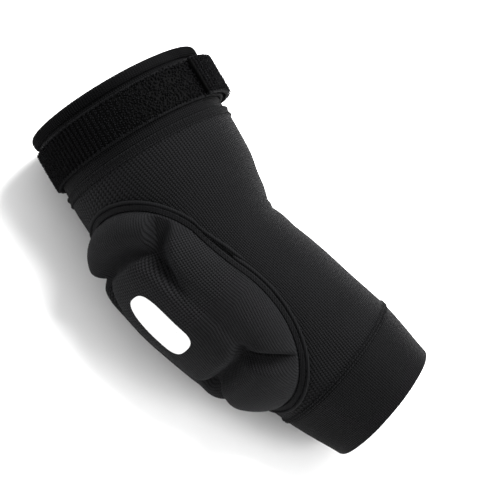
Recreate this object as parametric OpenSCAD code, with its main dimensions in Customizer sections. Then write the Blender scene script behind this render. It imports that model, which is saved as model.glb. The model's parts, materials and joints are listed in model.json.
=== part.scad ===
// Padded elbow sleeve for martial arts: a pre-bent knitted sleeve with a strapped upper cuff,
// a turned lower cuff and an oval foam pad of five blocks over the point of the elbow.
//
// The pieces are drawn with the upper arm along Z, starting where the upper cuff meets its rolled
// rim. There the pad faces -X, the forearm leans towards +X, and the elbow turns about Y.
// s is the distance along the sleeve's centre line below that start, phi is the angle round it
// from the pad's side, and h is the height above the sleeve's outer surface.
// lay_down() then lays the sleeve on its side: the elbow turns about Z, the pad faces -Y, the
// forearm points to +X, and the origin is under the middle on the surface it lies on.

/* [Sleeve] */
// Bend sewn into the sleeve at the elbow, in degrees from straight
bend = 24; // [20:1:30]
// Distance from the top of the upper cuff to the middle of the elbow
upper_len = 98; // [96:1:104]
// Distance from the middle of the elbow to the end of the lower cuff
lower_len = 129; // [125:1:133]
// Radius of the centre line round the elbow
elbow_arc_r = 52; // [50:1:58]
// Thickness of the knitted tube
knit_t = 1.6; // [1.2:0.1:2]

/* [Cuffs] */
// Inside radius of the upper cuff
upper_bore_r = 47; // [45:0.5:48]
// Wall of the double upper cuff
upper_cuff_t = 2.8; // [2.2:0.1:2.8]
// Length of the upper cuff below the rim
upper_cuff_len = 32; // [31:1:34]
// Height of the rolled rim
rim_h = 6.5; // [6:0.5:8]
// Inside radius of the elastic in the lower hem
lower_bore_r = 33; // [31:0.5:33.5]
// Length of the lower cuff
lower_cuff_len = 35; // [33:1:36]
// Wall of the folded lower cuff
lower_cuff_t = 2.6; // [2:0.1:2.8]

/* [Strap] */
// Width of the strap between its two bindings
strap_w = 20; // [16:1:22]
// Thickness of the loop-faced strap
strap_t = 2.8; // [2:0.1:3]
// Height of each edge binding
binding_w = 1.8; // [1.4:0.1:2.2]
// Distance from the top of the cuff to the strap's upper binding
strap_drop = 2.2; // [1.5:0.1:3]

/* [Pad] */
// Half length of the oval pad along the arm
pad_a = 63; // [61:0.5:64]
// Half width of the oval pad round the arm
pad_b = 44; // [42:0.5:50]
// How far the pad's middle lies below the middle of the elbow
pad_shift = 20; // [18:0.5:21]
// How far the pad is turned round the arm from the bend's outer line, in degrees
pad_turn = -6.5; // [-10:0.5:10]
// Length of the middle foam block towards the upper arm, from the pad's middle
dome_up = 36; // [30:0.5:38]
// Length of the middle foam block towards the forearm, from the pad's middle
dome_down = 24; // [22:0.5:26]
// Half width of the middle foam block
dome_b = 19; // [17:0.5:21]
// Height of the middle foam block over the sleeve
dome_h = 18; // [14:0.5:20]
// Height of the four outer foam blocks over the sleeve
block_h = 15; // [12:0.5:16]

/* [Hidden] */

knit_colour = [0.07, 0.07, 0.075];
strap_colour = [0.03, 0.03, 0.035];
foam_colour = [0.25, 0.25, 0.27];
trim_colour = [0.10, 0.10, 0.11];
thread_colour = [0.14, 0.14, 0.15];
mark_colour = [0.92, 0.92, 0.92];

gap = 0.3;                                    // clearance between pieces that only touch
around = 48;                                  // points round each knitted tube
$fn = 96;

// ---- the arm's centre line and surface ----
arc_half = elbow_arc_r * bend / 2 * PI / 180;
s_arc0 = upper_len - arc_half;
s_arc1 = upper_len + arc_half;
s_end = upper_len + lower_len;
seam_w = 3;                                   // width of the lower seam
upper_seam_w = 5.4;
s_sleeve0 = upper_cuff_len + upper_seam_w;
s_cuff1 = s_end - lower_cuff_len;
s_sleeve1 = s_cuff1 - seam_w;

upper_r = upper_bore_r + upper_cuff_t;        // outside of the upper cuff
lower_seam_r = 42.6;                          // outside of the sleeve where the lower cuff starts
lower_end_r = 37.2;                           // outside of the lower cuff at its end

// Outside radius of the sleeve along s.
SLEEVE_RADII = [
    [0, upper_r], [s_sleeve0, upper_r + 0.9], [58, 50], [76, 47], [90, 44.6], [102, 43.8],
    [140, 44.2], [170, 43.4], [s_cuff1, lower_seam_r], [s_end, lower_end_r]
];
function sleeve_r(s) = lookup(s, SLEEVE_RADII);
function tilt(s) = max(0, min(bend, (s - s_arc0) / elbow_arc_r * 180 / PI));
function along(s) = [sin(tilt(s)), 0, -cos(tilt(s))];
function back(s) = [-cos(tilt(s)), 0, -sin(tilt(s))];
function centre(s) =
    s <= s_arc0 ? [0, 0, -s] :
    s <= s_arc1 ? [elbow_arc_r * (1 - cos(tilt(s))), 0, -s_arc0 - elbow_arc_r * sin(tilt(s))] :
    centre(s_arc1) + (s - s_arc1) * along(s);
function radial(s, phi) = cos(phi) * back(s) + sin(phi) * [0, 1, 0];
function on_arm(s, phi, h) = centre(s) + (sleeve_r(s) + h) * radial(s, phi);

// ---- the elbow's axis, and the two wedges that stay free for its travel ----
hinge_offset = 13;                            // from the centre line towards the pad
hinge = centre(upper_len) + hinge_offset * back(upper_len);
flex_travel = 62;                             // from the sewn bend to fully flexed
straighten_travel = bend;                     // from the sewn bend to straight
wedge_pit = flex_travel / 2 + 0.6;
wedge_back = straighten_travel / 2 + 0.6;

// Height of a point over the mid plane of the elbow, towards the upper arm, less the wedge there.
function over_wedge(p) =
    let (v = p - hinge, up = -v * along(upper_len), out = v * back(upper_len))
    out > 0 ? up - out * tan(wedge_back) : up + out * tan(wedge_pit);
function under_wedge(p) =
    let (v = p - hinge, down = v * along(upper_len), out = v * back(upper_len))
    out > 0 ? down - out * tan(wedge_back) : down + out * tan(wedge_pit);
// The s at which the surface meets the upper or the lower face of the wedge.
function s_over(phi, h, lo = 20, hi = 150, k = 22) =
    let (mid = (lo + hi) / 2)
    k == 0 ? mid :
    over_wedge(on_arm(mid, phi, h)) > 0 ? s_over(phi, h, mid, hi, k - 1) : s_over(phi, h, lo, mid, k - 1);
function s_under(phi, h, lo = 60, hi = 220, k = 22) =
    let (mid = (lo + hi) / 2)
    k == 0 ? mid :
    under_wedge(on_arm(mid, phi, h)) > 0 ? s_under(phi, h, lo, mid, k - 1) : s_under(phi, h, mid, hi, k - 1);

// ---- general shapes ----
function sum(list, i = 0) = i == len(list) - 1 ? list[i] : list[i] + sum(list, i + 1);
function mean(list) = sum(list) / len(list);
function unit(v) = v / norm(v);
function mix(a, b, t) = a + (b - a) * t;

// A closed solid over a list of loops with the same number of points each.
module skin(loops, closed = false) {
    n = len(loops[0]);
    m = len(loops);
    sides = [
        for (i = [0 : m - (closed ? 1 : 2)], j = [0 : n - 1])
            let (a = i * n + j, b = i * n + (j + 1) % n,
                 c = ((i + 1) % m) * n + j, d = ((i + 1) % m) * n + (j + 1) % n)
            each [[a, b, d], [a, d, c]]
    ];
    caps = closed ? [] : [
        for (j = [0 : n - 1])
            each [[m * n, (j + 1) % n, j], [m * n + 1, (m - 1) * n + j, (m - 1) * n + (j + 1) % n]]
    ];
    poles = closed ? [] : [mean(loops[0]), mean(loops[m - 1])];
    polyhedron([for (loop = loops, p = loop) p, each poles], concat(sides, caps));
}

// A tube of knit between two edges, each given as a function of phi and h.
module knit_tube(first, last, rings) {
    function ring(h, t) = [
        for (j = [0 : around - 1])
            let (phi = j * 360 / around)
            on_arm(mix(first(phi, h), last(phi, h), t), phi, h)
    ];
    inside = [for (i = [0 : rings]) ring(-knit_t, i / rings)];
    outside = [for (i = [rings : -1 : 0]) ring(0, i / rings)];
    skin(concat(inside, outside), closed = true);
}

// A band round the upper arm from world angle a0 to a1, z from -drop - w to -drop.
module arm_band(r, t, drop, w, a0 = 0, a1 = 360, round_r = 0.5) {
    rotate([0, 0, a0])
        rotate_extrude(angle = a1 - a0)
            translate([r, -drop - w])
                rounded(t, w, round_r);
}

// A rectangle with round corners, built from exact arcs.
module rounded(x, y, r) {
    union() {
        translate([r, 0]) square([x - 2 * r, y]);
        translate([0, r]) square([x, y - 2 * r]);
        for (i = [r, x - r], j = [r, y - r])
            translate([i, j]) circle(r, $fn = 24);
    }
}

// One sewn stitch: a small bar from p to q, standing along up.
module stitch(p, q, up, w = 0.7, t = 0.5) {
    side = unit(cross(q - p, up)) * w / 2;
    top = unit(up) * t;
    skin([for (e = [p, q]) [e - side, e + side, e + side * 0.6 + top, e - side * 0.6 + top]]);
}

module on_forearm(s) {
    translate(centre(s)) rotate([0, -bend, 0]) children();
}

// ---- upper cuff ----
rim_t = 4.4;
rim_bore_r = upper_bore_r + 0.4;
elastic_t = 1.6;
elastic_h = rim_h - 3;

module rim_welt() {
    color(knit_colour)
        difference() {
            rotate_extrude() translate([rim_bore_r, 0]) rounded(rim_t, rim_h, 2);
            rotate_extrude()
                translate([rim_bore_r + (rim_t - elastic_t) / 2 - 0.1, 1.4])
                    square([elastic_t + 0.2, elastic_h + 0.2]);
        }
}

module rim_elastic() {
    color(trim_colour)
        rotate_extrude()
            translate([rim_bore_r + (rim_t - elastic_t) / 2, 1.5]) square([elastic_t, elastic_h]);
}

module upper_cuff() {
    color(knit_colour)
        rotate_extrude()
            translate([upper_bore_r, -upper_cuff_len]) square([upper_cuff_t, upper_cuff_len]);
}

// The flat seam between the cuff and the knitted tube stands a little proud of both.
module upper_seam() {
    color(trim_colour)
        rotate_extrude()
            translate([upper_bore_r + 0.8, -s_sleeve0])
                square([upper_cuff_t + 0.3, upper_seam_w]);
}

// Two rows of stitches round a seam.
module seam_stitches(r, count, spread) {
    for (row = [-1, 1], i = [0 : count - 1])
        let (a = i * 360 / count, b = a + 215 / count, z = -row * spread / 2)
        stitch([r * cos(a), r * sin(a), z], [r * cos(b), r * sin(b), z],
               [cos((a + b) / 2), sin((a + b) / 2), 0]);
}

module upper_seam_stitches() {
    color(thread_colour)
        translate([0, 0, -upper_cuff_len - upper_seam_w / 2 - 0.09])
            seam_stitches(upper_r + 1.2, 44, upper_seam_w - 1.4);
}

// ---- strap ----
strap_r = upper_r + gap;                      // inside of the strap on the cuff
strap_out_r = strap_r + strap_t;
binding_t = strap_t + 0.3;
tab_r = strap_out_r + 1.2;                    // inside of the tab, over the hook patch
band_from = 65;                               // angles round the arm from the pit side
band_to = 341;
tab_end = 290;                                // the tab's free end, over the band
tab_lap = 342.5;                              // from here to its root the tab comes down to the flap
tab_root = 349.5;
flap_from = tab_root + 0.5;
flap_to = band_from + 359.5;
strap_top = strap_drop + binding_w;

// The two edge bindings of a strap piece: side 0 is the upper one and 1 the lower one.
function binding_drop(side) = side == 0 ? strap_drop : strap_top + strap_w + 0.02;

module strap_band() {
    color(strap_colour)
        arm_band(strap_r, strap_t, strap_top + 0.01, strap_w, band_from, band_to);
}

module strap_binding(side) {
    color(trim_colour)
        arm_band(strap_r, binding_t, binding_drop(side), binding_w, band_from, band_to, 0.8);
}

// The square of stitches with a cross that sews the strap to the cuff.
module strap_anchor_stitches() {
    box_a0 = band_from + 4;
    box_a1 = band_from + 22;
    z_hi = -strap_top - 3;
    z_lo = -strap_top - strap_w + 3;
    function at(u, v) =
        let (a = mix(box_a0, box_a1, u))
        [(strap_out_r + 0.05) * cos(a), (strap_out_r + 0.05) * sin(a), mix(z_hi, z_lo, v)];
    lines = [[[0, 0], [1, 0]], [[1, 0], [1, 1]], [[1, 1], [0, 1]], [[0, 1], [0, 0]], [[0.14, 0.14], [0.86, 0.86]]];
    color(thread_colour)
        for (line = lines, i = [0 : 4])
            let (t0 = (i + 0.2) / 5, t1 = (i + 0.8) / 5,
                 p = at(mix(line[0][0], line[1][0], t0), mix(line[0][1], line[1][1], t0)),
                 q = at(mix(line[0][0], line[1][0], t1), mix(line[0][1], line[1][1], t1)))
            stitch(p, q, [p[0] + q[0], p[1] + q[1], 0] / 2);
}

module strap_flap() {
    color(strap_colour)
        arm_band(strap_r, strap_t, strap_top + 0.01, strap_w, flap_from, flap_to);
}

module flap_binding(side) {
    color(trim_colour)
        arm_band(strap_r, binding_t, binding_drop(side), binding_w, flap_from, flap_to, 0.8);
}

// The tab climbs from the flap's level onto the band, then lies over it.
module tab_strip(t, drop, w) {
    function level(a) = lookup(a, [[tab_lap, tab_r], [tab_root, strap_r]]);
    function section(a) = [
        for (c = [[0, 0], [0, w], [t, w], [t, 0]])
            [(level(a) + c[0]) * cos(a), (level(a) + c[0]) * sin(a), -drop - c[1]]
    ];
    lap = [for (i = [0 : 14]) mix(tab_end, tab_lap, i / 14)];
    ramp = [for (i = [1 : 4]) mix(tab_lap, tab_root, i / 4)];
    skin([for (a = concat(lap, ramp)) section(a)]);
}

module hook_tab() {
    color(strap_colour) tab_strip(strap_t, strap_top + 0.01, strap_w);
}

module tab_binding(side) {
    color(trim_colour) tab_strip(binding_t, binding_drop(side), binding_w);
}

module hook_patch() {
    color(thread_colour)
        arm_band(strap_out_r + gap, 0.8, strap_top + 1, strap_w - 2, tab_end + 1, band_to - 2, 0.2);
}

module tab_stitches() {
    r = tab_r + strap_t + 0.05;
    z0 = -strap_top - 2;
    pitch = (strap_w - 4) / 6;
    color(thread_colour)
        for (a = [tab_end + 3, tab_end + 6], i = [0 : 5])
            stitch([r * cos(a), r * sin(a), z0 - (i + 0.15) * pitch],
                   [r * cos(a), r * sin(a), z0 - (i + 0.8) * pitch], [cos(a), sin(a), 0]);
}

// ---- knitted tubes ----
module upper_sleeve() {
    color(knit_colour)
        knit_tube(function(phi, h) s_sleeve0 + 0.05, function(phi, h) s_over(phi, h), 10);
}

module elbow_sleeve() {
    color(knit_colour)
        knit_tube(function(phi, h) s_over(phi, h) + 0.1, function(phi, h) s_under(phi, h) - gap, 10);
}

module lower_sleeve() {
    color(knit_colour)
        knit_tube(function(phi, h) s_under(phi, h), function(phi, h) s_sleeve1 - 0.05, 10);
}

// ---- lower cuff ----
function cuff_r(d) = mix(lower_seam_r, lower_end_r, d / lower_cuff_len);

module lower_seam() {
    color(trim_colour)
        on_forearm(s_sleeve1)
            translate([0, 0, -seam_w])
                difference() {
                    cylinder(h = seam_w, r = lower_seam_r + 0.5);
                    translate([0, 0, -1]) cylinder(h = seam_w + 2, r = lower_seam_r - 2);
                }
}

module lower_seam_stitches() {
    color(thread_colour)
        on_forearm(s_sleeve1 + seam_w / 2)
            seam_stitches(lower_seam_r + 0.6, 40, seam_w - 1.3);
}

module lower_cuff() {
    color(knit_colour)
        on_forearm(s_end)
            rotate_extrude()
                polygon([
                    [lower_end_r - lower_cuff_t + 0.6, 0], [lower_end_r - 0.8, 0], [lower_end_r, 0.8],
                    [lower_seam_r, lower_cuff_len], [lower_seam_r - lower_cuff_t, lower_cuff_len],
                    [lower_end_r - lower_cuff_t, 0.6]
                ]);
}

hem_h = 12;
module lower_hem_elastic() {
    r_low = lower_end_r - lower_cuff_t - 0.15;
    r_high = cuff_r(lower_cuff_len - hem_h) - lower_cuff_t - 0.15;
    color(trim_colour)
        on_forearm(s_end)
            rotate_extrude()
                polygon([[lower_bore_r, 1], [r_low, 1], [r_high, hem_h], [lower_bore_r, hem_h]]);
}

// ---- pad ----
// The pad has its own polar map: theta runs round the oval from its forearm end, and w runs out
// from the middle: 0 to 1 is the middle block, 1 to 2 the groove round it, 2 to 3 an outer block.
groove_theta = 41;                            // of the four grooves, from the pad's long axis
block_gap = 6.5;                              // degrees from a groove to the end of a foam block
groove_half = 0.045;                          // half width of the groove, as a share of the oval
rim_rho = 0.965;                              // where the cover and the backing end
dome_power = 3.4;
sheet_t = 1;                                  // backing and cover cloth
backing_h = 0.5;
foam_floor = backing_h + sheet_t + gap;
block_edge_h = 8.5;                           // where a block meets the groove, at the two lobes
groove_h = 5;
side_edge_h = 13;                             // the same at the two sides, where the groove is shallow
side_groove_h = 12;

// The values of theta, closer together at the grooves.
QUARTER = [0, 9, 17, 24, groove_theta - block_gap, groove_theta - 3, groove_theta,
           groove_theta + 3, groove_theta + block_gap, 54, 61, 69, 79];
THETAS = [
    each QUARTER, 90, each [for (i = [len(QUARTER) - 1 : -1 : 1]) 180 - QUARTER[i]],
    each [for (t = QUARTER) 180 + t], 270, each [for (i = [len(QUARTER) - 1 : -1 : 1]) 360 - QUARTER[i]]
];
function dome_rho(theta) =
    pow(pow(abs(pad_a * cos(theta) / (cos(theta) < 0 ? dome_up : dome_down)), dome_power)
        + pow(abs(pad_b * sin(theta) / dome_b), dome_power), -1 / dome_power);
function rho_of(w, theta) =
    let (c = dome_rho(theta))
    w <= 1 ? w * (c - groove_half) :
    w <= 2 ? mix(c - groove_half, c + groove_half, w - 1) :
    mix(c + groove_half, rim_rho, w - 2);
function pad_point(rho, theta, h) =
    let (s = upper_len + pad_shift + pad_a * rho * cos(theta),
         phi = pad_turn + pad_b * rho * sin(theta) / 45 * 180 / PI)
    on_arm(s, phi, h);
// Degrees from the nearest of the four grooves.
function off_groove(theta) =
    let (t = abs(((theta % 180) + 180) % 180))
    min(abs(t - groove_theta), abs(180 - t - groove_theta));
// The two grooves towards the upper arm have a flat floor, the other two are narrow creases.
function block_share(theta) =
    cos(theta) < 0
        ? lookup(off_groove(theta), [[0, 0], [3, 0.12], [block_gap, 0.62], [13, 1]])
        : lookup(off_groove(theta), [[0, 0], [3, 0.5], [block_gap, 0.8], [13, 1]]);
function block_top(w) =
    lookup(w, [[2, block_edge_h], [2.1, block_h - 3.6], [2.2, block_h - 1.6], [2.4, block_h],
               [2.62, block_h - 1.2], [2.82, block_h - 5], [2.94, 5.4], [3, foam_floor + 0.6]]);
// The side blocks slope down to the seam almost straight.
function side_top(w) =
    lookup(w, [[2, side_edge_h - 0.4], [2.1, side_edge_h], [2.2, side_edge_h + 0.2], [2.4, side_edge_h - 0.2],
               [2.62, side_edge_h - 2], [2.82, side_edge_h - 5.2], [2.94, 4.4], [3, foam_floor + 0.6]]);
// 0 at the lobes and 1 at the sides.
function at_side(theta) =
    let (t = ((theta % 180) + 180) % 180)
    lookup(min(t, 180 - t), [[groove_theta + 2, 0], [groove_theta + 20, 1]]);
function pad_top(w, theta) =
    let (side = at_side(theta), block = mix(block_top(w), side_top(w), side))
    w <= 1 ? lookup(w, [[0, dome_h], [0.62, dome_h - 0.4], [0.85, dome_h - mix(3, 1.6, side)],
                        [1, mix(block_edge_h, side_edge_h, side)]]) :
    w < 2 ? mix(groove_h, side_groove_h, side) :
    mix(min(groove_h, block), block, block_share(theta));
function pad_ring(w, h) = [
    for (theta = THETAS) pad_point(rho_of(w, theta), theta, is_undef(h) ? pad_top(w, theta) : h)
];

foam_rings = [2, 2.1, 2.2, 2.4, 2.62, 2.82, 2.94];

// One outer foam block between two values of theta.
module foam_block(theta0, theta1) {
    function section(theta) = concat(
        [for (w = foam_rings) pad_point(rho_of(w, theta), theta, foam_floor)],
        [for (i = [len(foam_rings) - 1 : -1 : 0])
            pad_point(rho_of(foam_rings[i], theta), theta, pad_top(foam_rings[i], theta))]
    );
    turns = [for (k = [1, 0, -1], i = [len(THETAS) - 1 : -1 : 0]) THETAS[i] + k * 360];
    color(foam_colour)
        skin([for (theta = turns) if (theta > theta0 - 0.01 && theta < theta1 + 0.01) section(theta)]);
}

module foam_centre() {
    color(foam_colour)
        skin(concat(
            [for (w = [0.08, 0.4, 0.7, 1]) pad_ring(w, foam_floor)],
            [for (w = [1, 0.85, 0.62, 0.35, 0.08]) pad_ring(w)]
        ));
}

lobe_half = groove_theta - block_gap;
module foam_upper_lobe() foam_block(180 - lobe_half, 180 + lobe_half);
module foam_lower_lobe() foam_block(-lobe_half, lobe_half);
module foam_side_inner() foam_block(groove_theta + block_gap, 180 - groove_theta - block_gap);
module foam_side_outer() foam_block(180 + groove_theta + block_gap, 360 - groove_theta - block_gap);

sheet_rings = [0.08, 0.3, 0.55, 0.8, 1, 1.5, 2, 2.25, 2.5, 2.75, 3];
module pad_backing() {
    count = len(sheet_rings);
    color(trim_colour)
        skin(concat(
            [for (w = sheet_rings) pad_ring(w, backing_h)],
            [for (i = [count - 1 : -1 : 0]) pad_ring(sheet_rings[i], backing_h + sheet_t)]
        ));
}

cover_rings = [0.08, 0.35, 0.62, 0.85, 1, 1.5, 2, 2.1, 2.2, 2.4, 2.62, 2.82, 2.94, 3];
module pad_cover() {
    count = len(cover_rings);
    function ring(w, rise) = [
        for (theta = THETAS) pad_point(rho_of(w, theta), theta, pad_top(w, theta) + rise)
    ];
    color(knit_colour)
        skin(concat(
            [for (w = cover_rings) ring(w, gap)],
            [for (i = [count - 1 : -1 : 0]) ring(cover_rings[i], gap + sheet_t)]
        ));
}

// The section of a trim at theta on the oval, moved outwards by out.
function trim_section(theta, out, h, half_w, half_t, sides = 8) =
    let (p = pad_point(1, theta, h),
         outward = unit(pad_point(1.02, theta, h) - pad_point(0.98, theta, h)),
         up = unit(pad_point(1, theta, h + 1) - p))
    [for (k = [0 : sides - 1])
        let (a = -k * 360 / sides)
        p + outward * (out + half_w * cos(a)) + up * half_t * sin(a)];

module pad_binding() {
    color(trim_colour)
        skin([for (theta = THETAS) trim_section(theta, 0, 1.7, 1.7, 1.2)], closed = true);
}

// The piping is one cord round the oval. Its end runs on outside its start.
piping_r = 1.1;
piping_join = 260;
module pad_piping() {
    function out(t) = lookup(t, [[0, 3], [340, 3], [352, 5.45], [362, 5.55]]);
    color(trim_colour)
        skin([for (t = [0 : 6 : 360]) trim_section(piping_join - 362 + t, out(t), 1.8, piping_r, piping_r)]);
}

module pad_stitches() {
    every = 4;
    color(thread_colour)
        for (theta = [0 : every : 359])
            let (p = pad_point(1, theta, 2.95), q = pad_point(1, theta + every * 0.62, 2.95))
            stitch(p, q, pad_point(1, theta + 1, 4) - pad_point(1, theta + 1, 3), 0.7, 0.45);
}

// A plain rounded lozenge printed on the middle of the pad.
module front_mark() {
    mark_s = upper_len + pad_shift - 13;
    mark_a = 11;
    mark_b = 7;
    function ring(k, h) = [
        for (i = [0 : 23])
            let (t = i * 15,
                 r = pow(pow(abs(cos(t)), 3) + pow(abs(sin(t)), 3), -1 / 3),
                 a = mark_a * k * r * cos(t), b = mark_b * k * r * sin(t))
            on_arm(mark_s + a, pad_turn + b / 45 * 180 / PI, h)
    ];
    low = dome_h + gap + sheet_t + 0.1;
    color(mark_colour)
        skin([ring(0.1, low), ring(1, low), ring(1, low + 0.3), ring(0.1, low + 0.3)]);
}

// ---- the resting place ----
rest_lean = 3.5;                              // the strap and the lower cuff both touch the surface
rest_shift = [-110.59, -11.01, 54.84];
module lay_down() {
    translate(rest_shift) rotate([0, rest_lean, 0]) rotate([-90, 0, 90]) children();
}

lay_down() rim_welt();
lay_down() rim_elastic();
lay_down() upper_cuff();
lay_down() upper_seam();
lay_down() upper_seam_stitches();
lay_down() strap_band();
lay_down() strap_binding(0);  // strap_binding_upper
lay_down() strap_binding(1);  // strap_binding_lower
lay_down() strap_anchor_stitches();
lay_down() upper_sleeve();
lay_down() elbow_sleeve();
lay_down() lower_sleeve();
lay_down() lower_seam();
lay_down() lower_seam_stitches();
lay_down() lower_cuff();
lay_down() lower_hem_elastic();
lay_down() foam_upper_lobe();
lay_down() foam_lower_lobe();
lay_down() foam_centre();
lay_down() foam_side_outer();
lay_down() foam_side_inner();
lay_down() pad_backing();
lay_down() pad_cover();
lay_down() pad_binding();
lay_down() pad_piping();
lay_down() pad_stitches();
lay_down() front_mark();
lay_down() strap_flap();
lay_down() flap_binding(0);  // flap_binding_upper
lay_down() flap_binding(1);  // flap_binding_lower
lay_down() hook_tab();
lay_down() tab_binding(0);  // tab_binding_upper
lay_down() tab_binding(1);  // tab_binding_lower
lay_down() hook_patch();
lay_down() tab_stitches();
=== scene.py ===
"""Looks of the padded elbow sleeve: knitted tubes, a moulded foam pad under cloth, strap and seams.

Lengths are in metres. A point of the sleeve is given as s, the distance along its centre line
below the upper cuff's top edge, phi, the angle round it from the pad's side, and h, the height
above the sleeve's outer surface.
"""
import json
import math

import bpy
import numpy as np
from mathutils import Matrix, Vector
from mathutils.bvhtree import BVHTree


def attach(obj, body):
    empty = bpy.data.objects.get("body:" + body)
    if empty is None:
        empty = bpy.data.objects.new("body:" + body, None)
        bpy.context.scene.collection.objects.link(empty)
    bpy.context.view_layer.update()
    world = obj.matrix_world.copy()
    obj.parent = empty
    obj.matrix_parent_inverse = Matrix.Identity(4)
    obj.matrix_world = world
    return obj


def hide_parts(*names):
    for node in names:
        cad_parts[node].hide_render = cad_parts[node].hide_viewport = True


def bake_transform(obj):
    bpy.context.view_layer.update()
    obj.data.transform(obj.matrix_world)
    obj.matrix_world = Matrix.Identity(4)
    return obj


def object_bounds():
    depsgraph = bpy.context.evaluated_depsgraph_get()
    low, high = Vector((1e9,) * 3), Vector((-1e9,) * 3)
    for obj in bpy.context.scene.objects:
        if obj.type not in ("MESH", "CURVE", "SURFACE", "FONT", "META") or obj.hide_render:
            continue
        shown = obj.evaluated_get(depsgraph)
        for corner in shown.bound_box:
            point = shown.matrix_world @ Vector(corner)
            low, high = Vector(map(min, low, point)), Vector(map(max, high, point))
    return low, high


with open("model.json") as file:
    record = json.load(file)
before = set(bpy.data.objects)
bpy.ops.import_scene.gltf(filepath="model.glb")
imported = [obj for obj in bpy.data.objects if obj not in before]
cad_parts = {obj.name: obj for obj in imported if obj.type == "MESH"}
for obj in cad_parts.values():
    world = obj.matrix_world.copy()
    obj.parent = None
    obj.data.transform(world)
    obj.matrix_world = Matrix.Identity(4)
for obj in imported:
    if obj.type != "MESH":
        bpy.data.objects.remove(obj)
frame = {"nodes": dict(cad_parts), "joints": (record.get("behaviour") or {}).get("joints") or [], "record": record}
cad_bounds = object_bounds()
record = frame["record"]
mounts = {m["name"]: m for m in record["mounts"]}
joints = {j["name"]: j for j in frame["joints"]}
rng = np.random.default_rng(11)
MM = 0.001

# ---- dimensions of the design ----
UPPER_LEN = 98 * MM          # top edge to the middle of the elbow
LOWER_LEN = 129 * MM         # middle of the elbow to the lower end
ARC_R = 52 * MM              # radius of the centre line round the elbow
KNIT_T = 1.6 * MM
UPPER_BORE_R = mounts["upper_arm_opening"]["dims"]["r_mm"] * MM
UPPER_CUFF_LEN = mounts["upper_arm_opening"]["dims"]["length_mm"] * MM
CUFF_T = 2.8 * MM
UPPER_R = UPPER_BORE_R + CUFF_T
UPPER_SEAM_W = 5.4 * MM
LOWER_SEAM_W = 3 * MM
LOWER_CUFF_LEN = 35 * MM
LOWER_CUFF_T = 2.6 * MM
RIM_H = 6.5 * MM
RIM_T = 4.4 * MM
STRAP_W = 20 * MM
STRAP_T = 2.8 * MM
STRAP_GAP = 0.3 * MM
BINDING_W = 1.8 * MM
STRAP_TOP = 4 * MM
PAD_A = 63 * MM
PAD_B = 44 * MM
PAD_SHIFT = 20 * MM
PAD_TURN = math.radians(-6.5)
PHI_R = 45 * MM              # radius at which the pad's width is measured
DOME_UP, DOME_DOWN, DOME_B = 36 * MM, 24 * MM, 19 * MM
DOME_POWER = 3.4
DOME_H, RIM_RHO = 18 * MM, 0.965
GROOVE_THETA = 41            # degrees from the pad's long axis
SHEET = 1.3 * MM             # the cover's thickness and the gap under it
TOP = DOME_H + SHEET         # the cover's highest point over the sleeve
SEAM_H = 3.7 * MM            # its height where the tape holds it down

arm_up = Vector(mounts["upper_arm_opening"]["axis"]).normalized()
forearm_out = Vector(mounts["forearm_opening"]["axis"]).normalized()
BEND = (-arm_up).angle(forearm_out)
S_ARC0 = UPPER_LEN - ARC_R * BEND / 2
S_ARC1 = UPPER_LEN + ARC_R * BEND / 2
S_END = UPPER_LEN + LOWER_LEN
S_SLEEVE0 = UPPER_CUFF_LEN + UPPER_SEAM_W
S_CUFF1 = S_END - LOWER_CUFF_LEN
S_SLEEVE1 = S_CUFF1 - LOWER_SEAM_W

# ---- from the design's axes to the row frame ----
axis_z = arm_up
axis_y = -Vector(joints["elbow_bend"]["axis"]).normalized()
axis_x = axis_y.cross(axis_z)
AXES = np.array([axis_x, axis_y, axis_z])
ORIGIN = np.array(Vector(mounts["upper_arm_opening"]["pos_m"]) + arm_up * UPPER_CUFF_LEN / 2)


def to_row(points):
    return np.asarray(points) @ AXES + ORIGIN


# ---- the sleeve's surface ----
RADIUS_S = np.array([0, 37.4, 58, 76, 90, 102, 140, 170, 192, 227]) * MM
RADIUS_R = np.array([49.8, 50.7, 50, 47, 44.6, 43.8, 44.2, 43.4, 42.6, 37.2]) * MM


def smooth_radius():
    """The radius along s in steps of 1 mm, with the corners of the design's outline rounded."""
    s = np.arange(-20, 250) * MM
    r = np.interp(s, RADIUS_S, RADIUS_R)
    kernel = np.exp(-0.5 * (np.arange(-12, 13) / 4.0) ** 2)
    soft = np.convolve(np.pad(r, 12, mode="edge"), kernel / kernel.sum(), mode="valid")
    return s, soft


RADIUS_TABLE = smooth_radius()


def sleeve_r(s):
    return np.interp(s, *RADIUS_TABLE)


def tilt(s):
    return np.clip((s - S_ARC0) / ARC_R, 0, BEND)


def on_arm(s, phi, h):
    """Points of the design at s, phi in radians and h. The three broadcast together."""
    s, phi, h = np.broadcast_arrays(np.asarray(s, float), np.asarray(phi, float), np.asarray(h, float))
    t = tilt(s)
    before, after = np.minimum(s, S_ARC0), np.maximum(s - S_ARC1, 0)
    r = sleeve_r(s) + h
    x = ARC_R * (1 - np.cos(t)) + after * math.sin(BEND) - r * np.cos(phi) * np.cos(t)
    y = r * np.sin(phi)
    z = -before - ARC_R * np.sin(t) - after * math.cos(BEND) - r * np.cos(phi) * np.sin(t)
    return np.stack([x, y, z], -1)


def pad_place(rho, theta):
    """s and phi of a place on the oval, with theta in radians from its forearm end."""
    s = UPPER_LEN + PAD_SHIFT + PAD_A * rho * np.cos(theta)
    return s, PAD_TURN + PAD_B * rho * np.sin(theta) / PHI_R


def pad_point(rho, theta, h):
    s, phi = pad_place(rho, theta)
    return on_arm(s, phi, h)


def smoothstep(x, a, b):
    t = np.clip((x - a) / (b - a), 0, 1)
    return t * t * (3 - 2 * t)


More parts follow.
